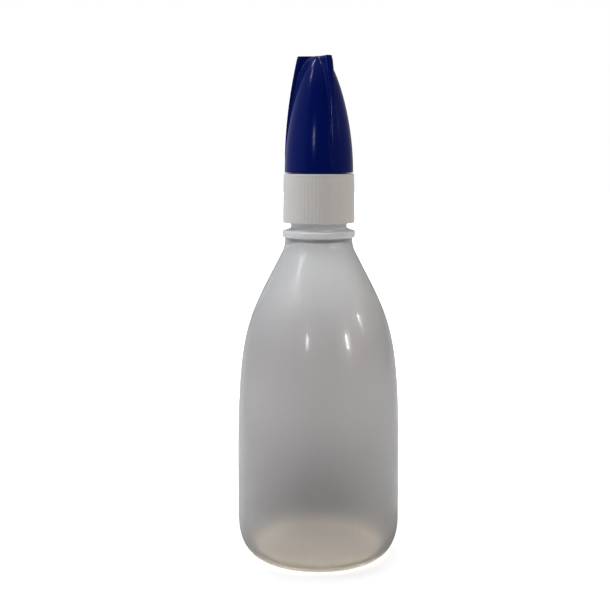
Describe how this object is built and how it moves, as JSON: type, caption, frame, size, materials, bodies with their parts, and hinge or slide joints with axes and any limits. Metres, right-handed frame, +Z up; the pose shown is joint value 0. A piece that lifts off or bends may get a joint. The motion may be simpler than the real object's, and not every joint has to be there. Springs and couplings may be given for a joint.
{
  "type": "dropper bottle",
  "caption": "Soft translucent squeeze bottle with a long shoulder, ribbed screw collar, dropping nozzle and winged push-on overcap, for dispensing drops of liquid.",
  "frame": {"origin": "centre of the bottle's foot, on the surface that it stands on", "axes": "+Z up along the bottle's axis, -Y towards the front as seen, +X to the right"},
  "size_m": [0.0456, 0.0456, 0.1382],
  "materials": {
    "natural_polythene": "translucent satin, as blown",
    "seal_foam": "matt closed-cell foam",
    "nozzle_polythene": "satin moulded",
    "white_plastic": "satin moulded, fine upright ribs",
    "blue_plastic": "glossy moulded"
  },
  "bodies": {
    "bottle": {"bottle": "natural_polythene"},
    "nozzle": {"nozzle": "nozzle_polythene", "sealing_ring": "seal_foam"},
    "collar": {"collar": "white_plastic"},
    "overcap": {"overcap": "blue_plastic"}
  },
  "joints": [
    {"name": "nozzle_lift", "type": "slide", "parent": "bottle", "child": "nozzle", "axis": [0, 0, 1], "range_m": [0, 0.0061]},
    {"name": "collar_turn", "type": "hinge", "parent": "nozzle", "child": "collar", "pos_m": [0, 0, 0.1], "axis": [0, 0, 1], "range_deg": [0, 720]},
    {"name": "overcap_lift", "type": "slide", "parent": "nozzle", "child": "overcap", "axis": [0, 0, 1], "range_m": [0, 0.035]}
  ],
  "couplings": [
    {"joint": "nozzle_lift", "follows": "collar_turn", "m_per_rad": 0.00047746}
  ]
}
